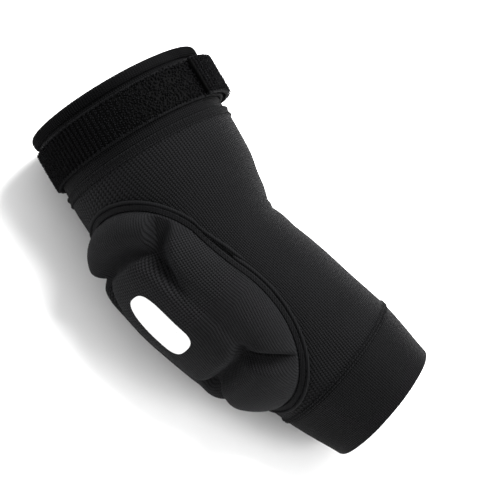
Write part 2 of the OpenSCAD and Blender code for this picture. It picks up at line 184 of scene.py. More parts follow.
# ---- meshes ----
def grid_mesh(name, points, uv=None, wrap=(False, False), flip=False, cap=False):
    """A mesh over a grid of design points. uv has one more row or column where the grid wraps.

    cap closes the first row with one face.
    """
    m, n = points.shape[:2]
    rows, cols = m - (not wrap[0]), n - (not wrap[1])
    i, j = np.meshgrid(np.arange(rows), np.arange(cols), indexing="ij")
    i, j = i.ravel(), j.ravel()
    corners = [(i, j), (i, j + 1), (i + 1, j + 1), (i + 1, j)]
    if flip:
        corners.reverse()
    faces = np.stack([(a % m) * n + b % n for a, b in corners], 1)
    faces = faces.tolist() + ([list(range(n))[::1 if flip else -1]] if cap else [])
    mesh = bpy.data.meshes.new(name)
    mesh.from_pydata(to_row(points.reshape(-1, 3)), [], faces)
    if uv is not None:
        layer = mesh.uv_layers.new(name="cloth")
        flat = np.stack([uv[a, b] for a, b in corners], 1).reshape(-1, 2)
        if cap:
            flat = np.concatenate([flat, uv[0, :n]])
        layer.data.foreach_set("uv", flat.astype(np.float32).ravel())
    mesh.polygons.foreach_set("use_smooth", np.ones(len(mesh.polygons), bool))
    mesh.update()
    piece = bpy.data.objects.new(name, mesh)
    bpy.context.scene.collection.objects.link(piece)
    return piece


def tube_mesh(name, rings, wrap_rings=True, uv=None, flip=False):
    return grid_mesh(name, rings, uv, (wrap_rings, True), flip)


def many(name, points, faces):
    """One mesh from k copies of a form: points is (k, v, 3) in the design, faces index one copy."""
    k, v = points.shape[:2]
    base = np.arange(k)[:, None, None] * v
    every = (np.asarray(faces)[None] + base).reshape(-1, len(faces[0]))
    mesh = bpy.data.meshes.new(name)
    mesh.from_pydata(to_row(points.reshape(-1, 3)), [], every.tolist())
    mesh.polygons.foreach_set("use_smooth", np.ones(len(mesh.polygons), bool))
    mesh.update()
    piece = bpy.data.objects.new(name, mesh)
    bpy.context.scene.collection.objects.link(piece)
    return piece


def unit(v):
    return v / np.linalg.norm(v, axis=-1, keepdims=True)


def threads(name, start, end, up, radius, arch, sides=5, steps=5):
    """Short arched threads from each start to each end, standing along up."""
    t = np.linspace(0, 1, steps)[None, :, None]
    along = end - start
    path = start[:, None] + along[:, None] * t + up[:, None] * arch * np.sin(math.pi * t)
    taper = (0.55 + 0.45 * np.sin(math.pi * t)) * radius
    side = unit(np.cross(along, up))[:, None]
    a = np.linspace(0, 2 * math.pi, sides, endpoint=False)
    ring = (path[:, :, None] + taper[:, :, None] * (np.cos(a)[None, None, :, None] * side[:, :, None]
            + np.sin(a)[None, None, :, None] * up[:, None, None]))
    faces = [
        (i * sides + j, i * sides + (j + 1) % sides, (i + 1) * sides + (j + 1) % sides, (i + 1) * sides + j)
        for i in range(steps - 1) for j in range(sides)
    ]
    return many(name, ring.reshape(len(start), -1, 3), faces)


# ---- materials ----
class Nodes:
    """Short names for building a node tree."""

    def __init__(self, name):
        self.material = bpy.data.materials.new(name)
        self.material.use_nodes = True
        self.tree = self.material.node_tree
        self.shader = self.tree.nodes["Principled BSDF"]

    def add(self, kind, **values):
        node = self.tree.nodes.new(kind)
        for key, value in values.items():
            setattr(node, key, value)
        return node

    def link(self, a, b):
        self.tree.links.new(a, b)

    def math(self, operation, a, b=None):
        node = self.add("ShaderNodeMath", operation=operation)
        for socket, value in zip(node.inputs, (a, b)):
            if value is None:
                continue
            if isinstance(value, (int, float)):
                socket.default_value = value
            else:
                self.link(value, socket)
        return node.outputs[0]

    def noise(self, vector, scale, detail=2.0):
        node = self.add("ShaderNodeTexNoise")
        self.link(vector, node.inputs["Vector"])
        node.inputs["Scale"].default_value = scale
        node.inputs["Detail"].default_value = detail
        return node.outputs["Fac"]

    def ramp(self, value, dark, light, low=0.0, high=1.0):
        node = self.add("ShaderNodeValToRGB")
        self.link(value, node.inputs["Fac"])
        node.color_ramp.elements[0].position = low
        node.color_ramp.elements[0].color = (*dark, 1)
        node.color_ramp.elements[1].position = high
        node.color_ramp.elements[1].color = (*light, 1)
        return node.outputs["Color"]

    def bump(self, height, distance, strength=1.0, normal=None):
        node = self.add("ShaderNodeBump")
        self.link(height, node.inputs["Height"])
        node.inputs["Distance"].default_value = distance
        node.inputs["Strength"].default_value = strength
        if normal is not None:
            self.link(normal, node.inputs["Normal"])
        return node.outputs["Normal"]

    def object_coordinates(self):
        return self.add("ShaderNodeTexCoord").outputs["Object"]

    def finish(self, colour, normal, roughness, sheen, sheen_rough=0.45, specular=0.2, ior=1.22):
        self.link(colour, self.shader.inputs["Base Color"])
        self.link(normal, self.shader.inputs["Normal"])
        if isinstance(roughness, float):
            self.shader.inputs["Roughness"].default_value = roughness
        else:
            self.link(roughness, self.shader.inputs["Roughness"])
        self.shader.inputs["Sheen Weight"].default_value = sheen
        self.shader.inputs["Sheen Roughness"].default_value = sheen_rough
        self.shader.inputs["Sheen Tint"].default_value = (0.8, 0.82, 0.88, 1)
        self.shader.inputs["Specular IOR Level"].default_value = specular
        self.shader.inputs["IOR"].default_value = ior
        return self.material


def knit_material(name, dark, light, wale, course, depth, sheen, slub=0.28):
    """Ribbed knit: wales run along v and courses across, both in metres of the cloth map. Its colour darkens in
    the grooves between wales and between loops as painted shade, with random patches of tone on top.
    """
    n = Nodes(name)
    uv = n.add("ShaderNodeUVMap", uv_map="cloth").outputs["UV"]
    split = n.add("ShaderNodeSeparateXYZ")
    n.link(uv, split.inputs[0])
    place = n.object_coordinates()
    wander = n.math("MULTIPLY", n.math("SUBTRACT", n.noise(place, 90), 0.5), wale * 0.5)
    across = n.math("DIVIDE", n.math("ADD", split.outputs["X"], wander), wale)
    ridge = n.math("ABSOLUTE", n.math("SINE", n.math("MULTIPLY", across, math.pi)))
    # each stitch is a V: the courses lean one way on the left of a wale and the other on the right
    lean = n.math("MULTIPLY", n.math("PINGPONG", across, 0.5), 0.9)
    row = n.math("ADD", n.math("DIVIDE", split.outputs["Y"], course), lean)
    loops = n.math("ABSOLUTE", n.math("SINE", n.math("MULTIPLY", row, math.pi)))
    height = n.math("ADD", n.math("MULTIPLY", ridge, 0.5), n.math("MULTIPLY", loops, 0.5))
    fuzz = n.noise(place, 2600, 3)
    height = n.math("ADD", height, n.math("MULTIPLY", n.math("SUBTRACT", fuzz, 0.5), 0.25))
    patch = n.noise(place, 26, 4)
    # painted shade: the colour follows the knit's height, so the grooves between wales and between loops are
    # painted darker; patch adds random tone
    tone = n.math("ADD", n.math("MULTIPLY", height, 1 - slub), n.math("MULTIPLY", patch, slub))
    colour = n.ramp(tone, dark, light, 0.42, 0.78)
    rough = n.math("ADD", n.math("MULTIPLY", patch, 0.16), 0.62)
    return n.finish(colour, n.bump(height, depth), rough, sheen)


def tape_material(name, dark, light, pitch, depth, sheen=0.012, rough=0.7):
    """Woven tape: fine diagonal ribs from the object's own coordinates, with fuzz. Its colour darkens in the
    valleys between the ribs as painted shade, with random patches of tone.
    """
    n = Nodes(name)
    place = n.object_coordinates()
    wave = n.add("ShaderNodeTexWave", wave_type="BANDS", bands_direction="DIAGONAL")
    n.link(place, wave.inputs["Vector"])
    wave.inputs["Scale"].default_value = 0.32 / pitch
    wave.inputs["Distortion"].default_value = 0.6
    wave.inputs["Detail"].default_value = 1
    fuzz = n.noise(place, 2200, 3)
    height = n.math("ADD", n.math("MULTIPLY", wave.outputs["Fac"], 0.6), n.math("MULTIPLY", fuzz, 0.4))
    patch = n.noise(place, 40, 3)
    # painted shade: the colour follows the ribs' height, so the valleys between ribs are painted darker; patch
    # adds random tone
    tone = n.math("ADD", n.math("MULTIPLY", height, 0.7), n.math("MULTIPLY", patch, 0.3))
    return n.finish(n.ramp(tone, dark, light, 0.2, 0.9), n.bump(height, depth), rough, sheen)


def pile_material(name, dark, light, rough=0.85, sheen=0.0):
    """Yarn of loops or threads: colour varies from loop to loop."""
    n = Nodes(name)
    place = n.object_coordinates()
    tone = n.noise(place, 700, 2)
    fine = n.noise(place, 4200, 2)
    mixed = n.math("ADD", n.math("MULTIPLY", tone, 0.65), n.math("MULTIPLY", fine, 0.35))
    return n.finish(n.ramp(mixed, dark, light, 0.3, 0.75), n.bump(fine, 0.08 * MM), rough, sheen)


def foam_material():
    n = Nodes("closed_cell_foam")
    place = n.object_coordinates()
    cells = n.add("ShaderNodeTexVoronoi")
    n.link(place, cells.inputs["Vector"])
    cells.inputs["Scale"].default_value = 1600
    patch = n.noise(place, 120, 3)
    colour = n.ramp(patch, (0.035, 0.035, 0.038), (0.06, 0.06, 0.064), 0.3, 0.7)
    return n.finish(colour, n.bump(cells.outputs["Distance"], 0.2 * MM), 0.9, 0.0)


def print_material():
    """Matt white transfer print, with the cloth's grain showing through and worn specks."""
    n = Nodes("white_print")
    uv = n.add("ShaderNodeUVMap", uv_map="cloth").outputs["UV"]
    split = n.add("ShaderNodeSeparateXYZ")
    n.link(uv, split.inputs[0])
    ribs = n.math("ABSOLUTE", n.math("SINE", n.math("MULTIPLY", split.outputs["X"], math.pi / (1.15 * MM))))
    specks = n.noise(n.object_coordinates(), 1500, 3)
    tone = n.math("ADD", n.math("MULTIPLY", specks, 0.8), n.math("MULTIPLY", ribs, 0.2))
    colour = n.ramp(tone, (0.50, 0.50, 0.50), (0.72, 0.72, 0.72), 0.22, 0.42)
    return n.finish(colour, n.bump(ribs, 0.12 * MM), 0.55, 0.0)


# in the knit and tape finishes the dark colour falls in the grooves between ribs and loops as painted shade, and
# in random patches
sleeve_knit = knit_material("sleeve_knit", (0.0002, 0.0002, 0.00023), (0.0078, 0.0078, 0.0085),
                            wale=1.7 * MM, course=1.3 * MM, depth=0.8 * MM, sheen=0.012)
cuff_knit = knit_material("cuff_knit", (0.0002, 0.0002, 0.00023), (0.0048, 0.0048, 0.0053),
                          wale=1.3 * MM, course=1.1 * MM, depth=0.65 * MM, sheen=0.01)
rim_knit = knit_material("rim_knit", (0.0002, 0.0002, 0.00025), (0.0042, 0.0042, 0.0047),
                         wale=1.5 * MM, course=1.0 * MM, depth=0.6 * MM, sheen=0.0)
cover_knit = knit_material("cover_knit", (0.0002, 0.0002, 0.00023), (0.0105, 0.0105, 0.0113),
                           wale=1.25 * MM, course=0.8 * MM, depth=0.65 * MM, sheen=0.02)
tape = tape_material("woven_tape", (0.00126, 0.00126, 0.00139), (0.00924, 0.00924, 0.01008),
                     pitch=0.8 * MM, depth=0.15 * MM)
elastic = tape_material("braided_elastic", (0.00168, 0.00168, 0.00185), (0.00924, 0.00924, 0.01008),
                        pitch=1.4 * MM, depth=0.25 * MM)
backing_cloth = tape_material("backing_cloth", (0.00168, 0.00168, 0.00185), (0.00756, 0.00756, 0.0084),
                              pitch=0.9 * MM, depth=0.12 * MM)
binding_tape = tape_material("strap_binding", (0.00084, 0.00084, 0.00092), (0.00588, 0.00588, 0.00651),
                             pitch=0.9 * MM, depth=0.14 * MM)
strap_pile = pile_material("strap_pile", (0.0004, 0.0004, 0.0005), (0.0085, 0.0085, 0.0095))
strap_base = tape_material("strap_base", (0.0001, 0.0001, 0.00012), (0.0005, 0.0005, 0.0006),
                           pitch=1.0 * MM, depth=0.15 * MM, sheen=0.0)
thread = pile_material("sewing_thread", (0.0021, 0.0021, 0.00231), (0.01092, 0.01092, 0.01176), 0.55, 0.02)
hook = pile_material("moulded_hook", (0.003, 0.003, 0.0035), (0.012, 0.012, 0.013), 0.45, 0.0)
foam = foam_material()
white_print = print_material()


def dress(piece, material):
    piece.data.materials.clear()
    piece.data.materials.append(material)
    return piece


# ---- the zone round the elbow; each soft piece's placement is baked into its mesh ----
ZONE = 65 * MM
blend_start = Vector(to_row(on_arm(UPPER_LEN - ZONE, 0, -sleeve_r(UPPER_LEN - ZONE))))
blend_end = Vector(to_row(on_arm(UPPER_LEN + ZONE, 0, -sleeve_r(UPPER_LEN + ZONE))))


def bends(piece):
    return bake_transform(piece)


# ---- knitted sleeve ----
def cloth_map(s, phi):
    """Wales that part round the pad as a stream parts round a stone, and courses across them."""
    x = (s - UPPER_LEN - PAD_SHIFT) / PAD_A
    y = (phi - PAD_TURN) * PHI_R / PAD_B
    push = 0.5 / np.maximum(x * x + y * y, 0.8)
    return np.stack([y * (1 - push) * PAD_B, x * (1 + push) * PAD_A], -1)


def relief(s, phi):
    """Slack in the knit: soft folds in the crook of the elbow and a slight waviness elsewhere."""
    crook = np.exp(-(((np.abs(phi) - math.pi) / 0.75) ** 2))
    from_elbow = s - UPPER_LEN
    fold = 0.9 * MM * crook * np.exp(-((from_elbow / (26 * MM)) ** 2)) * np.cos(from_elbow / (2.9 * MM))
    wave = 0.22 * MM * np.sin(3 * phi + s / (11 * MM)) * np.sin(s / (17 * MM) + 1.3)
    ends = smoothstep(s, S_SLEEVE0, S_SLEEVE0 + 12 * MM) * (1 - smoothstep(s, S_SLEEVE1 - 12 * MM, S_SLEEVE1))
    return (fold + wave) * ends


def make_sleeve():
    around, rows = 192, 130
    phi = np.linspace(-math.pi, math.pi, around + 1)
    s_out = np.linspace(S_SLEEVE0 - 1.5 * MM, S_SLEEVE1 + 1.5 * MM, rows)
    s_in = np.linspace(S_SLEEVE1 + 1.5 * MM, S_SLEEVE0 - 1.5 * MM, rows // 2)
    out_s, out_phi = np.meshgrid(s_out, phi, indexing="ij")
    in_s, in_phi = np.meshgrid(s_in, phi, indexing="ij")
    outer = on_arm(out_s, out_phi, relief(out_s, out_phi))
    inner = on_arm(in_s, in_phi, relief(in_s, in_phi) - KNIT_T)
    uv = np.concatenate([cloth_map(out_s, out_phi), cloth_map(in_s, in_phi)])
    uv = np.concatenate([uv, uv[:1]])
    points = np.concatenate([outer, inner])[:, :-1]
    piece = tube_mesh("sleeve", points, uv=uv)
    dress(piece, sleeve_knit)
    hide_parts("upper_sleeve", "elbow_sleeve", "lower_sleeve")
    return bends(piece)


# ---- cuffs ----
def turned(name, profile, count, wobble):
    """A closed profile of (s, radius) turned round the arm, with the cloth map round it."""
    phi = np.linspace(-math.pi, math.pi, count + 1)
    s, r = (np.asarray(v)[:, None] for v in zip(*profile))
    s, r, turn = s + 0 * phi, r + 0 * phi, phi + 0 * r
    r = r + wobble(s, turn, r)
    points = on_arm(s, turn, r - sleeve_r(s))
    length = np.concatenate([[0], np.cumsum(np.linalg.norm(np.diff(points[:, 0], axis=0), axis=1))])
    mean_r = float(np.mean(r))
    uv = np.stack([turn * mean_r, length[:, None] + 0 * turn], -1)
    closing = np.linalg.norm(points[0, 0] - points[-1, 0])
    uv = np.concatenate([uv, uv[:1] * [1, 0] + [0, length[-1] + closing]])
    return tube_mesh(name, points[:, :-1], uv=uv, flip=True)


def line(a, b, n):
    return [(a[0] + (b[0] - a[0]) * k / n, a[1] + (b[1] - a[1]) * k / n) for k in range(n)]


def make_rim():
    """The welt is a knitted edge rolled over its elastic: ribs run over it from side to side."""
    ribs = 210
    r0 = UPPER_BORE_R + 0.4 * MM
    profile = []
    for k in range(26):
        a = 2 * math.pi * k / 26
        q = 2.8
        c, d = math.cos(a), math.sin(a)
        size = (abs(c) ** q + abs(d) ** q) ** (-1 / q)
        profile.append((-RIM_H / 2 - RIM_H / 2 * size * c, r0 + RIM_T / 2 + RIM_T / 2 * size * d))

    def rib(s, phi, r):
        outward = np.sign(r - r0 - RIM_T / 2) * np.clip(np.abs(r - r0 - RIM_T / 2) / (RIM_T / 2), 0, 1)
        soft = 0.25 * MM * np.sin(2 * phi + 0.7) + 0.15 * MM * np.sin(5 * phi)
        return outward * 0.34 * MM * np.cos(ribs * phi) + soft * 0.5

    piece = turned("rim_welt", profile, ribs * 4, wobble=rib)
    dress(piece, rim_knit)
    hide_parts("rim_welt")
    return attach(piece, "upper_arm")


def make_upper_cuff():
    outer = line((-1.4 * MM, UPPER_R), (UPPER_CUFF_LEN, UPPER_R), 27) + [(UPPER_CUFF_LEN, UPPER_R)]
    inner = [(s, UPPER_BORE_R) for s, _ in outer[::-1]]

    def soft(s, phi, r):
        shown = smoothstep(s, STRAP_TOP + STRAP_W, UPPER_CUFF_LEN) * (r > UPPER_R - 1 * MM)
        return shown * 0.18 * MM * np.sin(7 * phi + s * 300)

    piece = turned("upper_cuff", outer + inner, 240, wobble=soft)
    dress(piece, cuff_knit)
    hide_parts("upper_cuff")
    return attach(piece, "upper_arm")


def lower_cuff_r(s):
    return np.interp(s, [S_CUFF1, S_END], [RADIUS_R[-2], RADIUS_R[-1]])


def make_lower_cuff():
    """Folded knit: the outer layer turns over at the end in a round edge and comes back inside."""
    fold = LOWER_CUFF_T / 2
    outer = [(s, float(lower_cuff_r(s))) for s in np.linspace(S_CUFF1 - 0.3 * MM, S_END - fold, 30)]
    end_r = outer[-1][1] - fold
    turn = [(S_END - fold + fold * math.sin(a), end_r + fold * math.cos(a))
            for a in np.linspace(0.3, math.pi - 0.3, 7)]
    inner = [(s, r - LOWER_CUFF_T) for s, r in outer[::-1]]

    def soft(s, phi, r):
        middle = np.sin(np.clip((s - S_CUFF1) / LOWER_CUFF_LEN, 0, 1) * math.pi)
        return 0.28 * MM * middle * np.sin(4 * phi + s * 90) + 0.12 * MM * np.sin(9 * phi)

    piece = turned("lower_cuff", outer + turn + inner, 220, wobble=soft)
    dress(piece, cuff_knit)
    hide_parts("lower_cuff")
    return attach(piece, "forearm")


def seam_band(name, s0, s1, proud, body, node):
    """A flatlock seam: a low rounded band with a furrow down its middle."""
    across = np.linspace(0, 1, 13)
    s = s0 + (s1 - s0) * across
    crown = proud * (1 - (2 * across - 1) ** 6) - 0.22 * MM * np.exp(-(((across - 0.5) / 0.10) ** 2))
    top = [(a, float(sleeve_r(a) + c)) for a, c in zip(s, crown)]
    under = [(a, float(sleeve_r(a) - 1.2 * MM)) for a in s[::-1]]

    def pull(s, phi, r):
        return 0.09 * MM * np.sin(130 * phi) * (r > sleeve_r(s))

    piece = turned(name, top + under, 780, wobble=pull)
    dress(piece, cuff_knit)
    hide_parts(node)
    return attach(piece, body)


def seam_stitches(name, rows, count, lift, body, node):
    """Rows of overlocked stitches round the sleeve: each leans a little."""
    starts, ends, ups = [], [], []
    for s in rows:
        phi = np.linspace(-math.pi, math.pi, count, endpoint=False)
        step = 2 * math.pi / count
        jitter = rng.normal(0, 0.06, count)
        a = on_arm(s - 0.25 * MM + 0.1 * MM * jitter, phi, lift)
        b = on_arm(s + 0.25 * MM + 0.1 * MM * jitter, phi + step * 0.78, lift)
        starts.append(a)
        ends.append(b)
        ups.append(unit(on_arm(s, phi + step * 0.4, 2 * lift + MM) - on_arm(s, phi + step * 0.4, 0)))
    piece = threads(name, *(np.concatenate(v) for v in (starts, ends, ups)), 0.24 * MM, 0.22 * MM)
    dress(piece, thread)
    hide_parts(node)
    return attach(piece, body)


# ---- strap ----
STRAP_R = UPPER_R + STRAP_GAP
BAND_FROM, BAND_TO = 65.0, 341.0
TAB_END, TAB_LAP, TAB_ROOT = 290.0, 342.5, 349.5
TAB_R = STRAP_R + STRAP_T + 1.2 * MM


def round_arm(a, r, s):
    """Points at angle a in degrees from the pit side, radius r and distance s, on the upper arm."""
    a = np.radians(a)
    return np.stack(np.broadcast_arrays(r * np.cos(a), r * np.sin(a), -s), -1)


def strap_wave(a, s):
    """The strap isn't drawn quite even: it stands off the cuff by a few tenths of a millimetre."""
    return 0.22 * MM * np.sin(np.radians(a) * 5) * np.sin((s - STRAP_TOP) / STRAP_W * math.pi)


def strap_body(name, a0, a1, inner_r, node, body):
    """The woven ground of a strap piece, as a closed band with round edges."""
    angles = np.linspace(a0, a1, int(abs(a1 - a0) / 1.5) + 2)
    t = STRAP_T - 0.5 * MM
    k = np.linspace(0, 2 * math.pi, 33)[:-1]
    shape = (np.abs(np.cos(k)) ** 6 + np.abs(np.sin(k)) ** 6) ** (-1 / 6)
    # the edges run into the bindings, so that no light shows between them
    half_s, half_r = STRAP_W / 2 + 0.4 * MM, t / 2
    s = STRAP_TOP + STRAP_W / 2 + half_s * shape * np.cos(k)
    offset = t / 2 + half_r * shape * np.sin(k)
    a, s_grid = np.meshgrid(angles, s, indexing="ij")
    r = inner_r(a) + offset[None] + strap_wave(a, s_grid) * (offset[None] > t / 2)
    points = round_arm(a, r, s_grid)
    caps = [np.broadcast_to(points[i].mean(0), points[i].shape) for i in (0, -1)]
    points = np.concatenate([caps[:1], points, caps[1:]])
    piece = grid_mesh(name, points, wrap=(False, True), flip=True)
    dress(piece, strap_base)
    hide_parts(node)
    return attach(piece, body)


def pile(name, a0, a1, surface_r, body, rib, pitch, tidy, yarn):
    """Loop pile in ribs across the strap, two loops to a rib. tidy gives 1 where the ribs are
    sharp and 0 where the loops lie at random."""
    radius = float(np.mean(surface_r(np.array([a0, a1]))))
    ribs = int(math.radians(a1 - a0) * radius / rib)
    centres = np.linspace(a0, a1, ribs + 1)[:-1] + 0.5 * (a1 - a0) / ribs
    rows = int((STRAP_W + 1.0 * MM) / pitch)
    side = np.tile([-1.0, 1.0], ribs)
    a = np.repeat(centres, 2)
    s = np.linspace(STRAP_TOP - 0.5 * MM, STRAP_TOP + STRAP_W + 0.5 * MM, rows)
    (a, s), side = (v.ravel() for v in np.meshgrid(a, s, indexing="ij")), np.repeat(side, rows)
    k = len(a)
    order = tidy(a)
    reach = rib * (0.135 + 0.115 * (1 - order))
    a = a + np.degrees((side * reach + rng.normal(0, 1, k) * rib * (0.03 + 0.14 * (1 - order))) / radius)
    s = s + side * pitch / 4 + rng.normal(0, 1, k) * pitch * (0.10 + 0.16 * (1 - order))
    turn = rng.normal(0, 1, k) * (0.25 + 0.6 * (1 - order)) + math.pi / 2 + side * 0.5
    half = pitch * 0.46
    height = pitch * rng.uniform(0.7, 1.1, k)
    da, ds = half * np.cos(turn), half * np.sin(turn)
    r = surface_r(a) + strap_wave(a, s) - 0.1 * MM
    start = round_arm(a - np.degrees(da / radius), r, s - ds)
    end = round_arm(a + np.degrees(da / radius), r, s + ds)
    up = round_arm(a, np.ones(k), 0 * s)
    t = np.linspace(0, 1, 5)[None, :, None]
    path = start[:, None] + (end - start)[:, None] * t + (up * height[:, None])[:, None] * np.sin(math.pi * t)
    across = unit(np.cross(end - start, up))[:, None]
    q = np.array([0.0, 1.57, 3.14, 4.71])
    ring = path[:, :, None] + yarn * (np.cos(q)[None, None, :, None] * across[:, :, None]
                                      + np.sin(q)[None, None, :, None] * up[:, None, None])
    faces = [(i * 4 + j, i * 4 + (j + 1) % 4, (i + 1) * 4 + (j + 1) % 4, (i + 1) * 4 + j)
             for i in range(4) for j in range(4)]
    piece = many(name, ring.reshape(k, -1, 3), faces)
    dress(piece, strap_pile)
    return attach(piece, body)


def strap_level(a):
    return STRAP_R + 0 * a


def tab_level(a):
    return np.interp(a, [TAB_LAP, TAB_ROOT], [TAB_R, STRAP_R])


def strap_binding(node, a0, a1, inner_r, upper, body):
    """The bound edge of a strap piece: a thin fold of tape, ribbed by its stitches."""
    angles = np.linspace(a0, a1, int(abs(a1 - a0) / 0.28))
    k = np.linspace(0, 2 * math.pi, 15)[:-1]
    shape = (np.abs(np.cos(k)) ** 2.6 + np.abs(np.sin(k)) ** 2.6) ** (-1 / 2.6)
    middle = STRAP_TOP - BINDING_W / 2 if upper else STRAP_TOP + STRAP_W + BINDING_W / 2
    half_r = STRAP_T / 2 - 0.15 * MM
    a, turn = np.meshgrid(angles, np.arange(len(k)), indexing="ij")
    rib = 1 + 0.07 * np.cos(np.radians(a) * 330)
    r = inner_r(a) + half_r + half_r * rib * (shape * np.sin(k))[turn]
    s = middle + BINDING_W / 2 * rib * (shape * np.cos(k))[turn]
    points = round_arm(a, r, s)
    caps = [np.broadcast_to(points[i].mean(0), points[i].shape) for i in (0, -1)]
    piece = grid_mesh(node, np.concatenate([caps[:1], points, caps[1:]]), wrap=(False, True), flip=True)
    dress(piece, binding_tape)
    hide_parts(node)
    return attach(piece, body)


def make_strap():
    top = STRAP_T - 0.5 * MM
    for side in ("upper", "lower"):
        strap_binding("strap_binding_" + side, BAND_FROM, BAND_TO, strap_level, side == "upper", "upper_arm")
        strap_binding("flap_binding_" + side, TAB_ROOT + 0.5, BAND_FROM + 359.5, strap_level, side == "upper",
                      "upper_arm")
        strap_binding("tab_binding_" + side, TAB_END, TAB_ROOT, tab_level, side == "upper", "strap_tab")
    strap_body("strap_band", BAND_FROM, BAND_TO, strap_level, "strap_band", "upper_arm")
    strap_body("strap_flap", TAB_ROOT + 0.5, BAND_FROM + 359.5, strap_level, "strap_flap", "upper_arm")
    strap_body("hook_tab", TAB_END, TAB_ROOT, tab_level, "hook_tab", "strap_tab")
    pile("strap_band_pile", BAND_FROM, BAND_TO, lambda a: strap_level(a) + top, "upper_arm",
         3.1 * MM, 1.25 * MM, lambda a: 1 - smoothstep(a, 205, 255), 0.36 * MM)
    pile("strap_flap_pile", TAB_ROOT + 0.5, BAND_FROM + 359.5, lambda a: strap_level(a) + top, "upper_arm",
         2.9 * MM, 1.25 * MM, lambda a: 0.7 + 0 * a, 0.33 * MM)
    pile("hook_tab_grid", TAB_END, TAB_ROOT, lambda a: tab_level(a) + top, "strap_tab",
         3.0 * MM, 1.45 * MM, lambda a: 1 + 0 * a, 0.36 * MM)


def make_tab_stitches():
    """Two bars of stitches across the tab hold the hook patch under it."""
    starts, ends, ups = [], [], []
    for a in (TAB_END + 2.2, TAB_END + 5.2):
        s = np.linspace(STRAP_TOP + 1.2 * MM, STRAP_TOP + STRAP_W - 2.8 * MM, 9)
        r = TAB_R + STRAP_T + 0.25 * MM
        starts.append(round_arm(a + 0 * s, r, s))
        ends.append(round_arm(a + 0 * s, r, s + 1.5 * MM))
        ups.append(round_arm(a + 0 * s, np.ones(len(s)), 0 * s))
    piece = threads("tab_stitches", *(np.concatenate(v) for v in (starts, ends, ups)), 0.26 * MM, 0.2 * MM)
    dress(piece, thread)
    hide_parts("tab_stitches")
    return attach(piece, "strap_tab")


# ---- pad ----
def dome_rho(theta):
    reach = np.where(np.cos(theta) < 0, DOME_UP, DOME_DOWN)
    along, across = np.abs(PAD_A * np.cos(theta) / reach), np.abs(PAD_B * np.sin(theta) / DOME_B)
    return (along ** DOME_POWER + across ** DOME_POWER) ** (-1 / DOME_POWER)


def fold(theta):
    """Degrees from the pad's long axis, 0 to 90."""
    return np.degrees(np.arctan2(np.abs(np.sin(theta)), np.abs(np.cos(theta))))


def valley_share(theta, rho, q):
    """1 on the lobes and panels, 0 in the four grooves between them. q runs from dome to seam."""
    off = np.radians(fold(theta) - GROOVE_THETA) * rho * 57 * MM
    away = np.abs(off)
    floor = 0.3 * MM + 3.0 * MM * q
    wall = np.where(off < 0, 4.2 * MM, 7.0 * MM)
    flat = smoothstep(away, floor, floor + wall)
    crisp = 1 - np.exp(-((away / (2.4 * MM)) ** 1.15))
    facet = 0.3 * (1 - np.exp(-away / (0.9 * MM))) + 0.7 * smoothstep(away, 1.5 * MM, 7 * MM + 5 * MM * q)
    return np.where(np.cos(theta) < 0, flat, np.where(off > 0, crisp, facet))


def pad_height(rho, theta):
    """Height of the pad's cloth over the sleeve: a dome, two lobes, two side panels, and grooves."""
    edge = dome_rho(theta)
    side = smoothstep(fold(theta), GROOVE_THETA + 2, GROOVE_THETA + 20)
    inside, q = rho / edge, np.clip((rho - edge) / (RIM_RHO - edge), 0, 1)
    dome = TOP - 1.0 * MM * np.clip(inside, 0, 1) ** 2 - side * 2.0 * MM * smoothstep(inside, 0.45, 1.05)
    crest = 0.4 - 0.15 * side
    fall = np.clip((q - crest) / (1 - crest), 0, 1)
    puffy, sloping = (1 - fall ** 2.2) ** 0.75, 1 - fall ** 1.9
    crown = (16.3 + (14.6 - 16.3) * side) * MM
    ring = SEAM_H + (crown - SEAM_H) * (puffy + (sloping - puffy) * side)
    before_crest = dome + (crown - dome) * smoothstep(q, 0, crest)
    envelope = np.where(q < crest, before_crest, ring)
    from_edge = (rho - edge) * PAD_A
    width = np.where(from_edge < 0, 4.0, 5.6) * MM
    depth = (10.6 + (1.5 - 10.6) * side) * MM
    h = envelope - depth * np.exp(-((from_edge / width) ** 2))
    low = np.where(np.cos(theta) < 0, 6.0, 7.6) * MM * (1 - q) + (SEAM_H + 0.2 * MM) * q
    share = valley_share(theta, rho, q)
    shared = np.minimum(h, low) + (h - np.minimum(h, low)) * share
    return np.where(q > 0, shared, h)


def cover_map(rho, theta):
    """The cover's wales run along the pad, swung a little out of line, and fan at the lobes."""
    s, phi = pad_place(rho, theta)
    x, y = s - UPPER_LEN - PAD_SHIFT, phi * PHI_R
    swing = 0.16
    u = y * math.cos(swing) - x * math.sin(swing)
    v = x * math.cos(swing) + y * math.sin(swing)
    fan = 1 + 0.22 * np.tanh(np.abs(x) / (45 * MM))
    return np.stack([u * fan, v], -1)


COVER_EDGE = 0.972


def cover_grid(rings, around):
    """rho and theta of the cover's grid, closer together at the grooves."""
    middle = rings // 6
    rho = np.concatenate([np.linspace(0.004, 0.3, middle), np.linspace(0.3, COVER_EDGE, rings - middle)[1:]])
    fine = np.linspace(0, 2 * math.pi, 7200)
    density = 1 + 2.4 * np.exp(-(((fold(fine) - GROOVE_THETA) / 7) ** 2))
    total = np.cumsum(density)
    theta = np.interp(np.linspace(total[0], total[-1], around + 1)[:-1], total, fine)
    return rho, theta


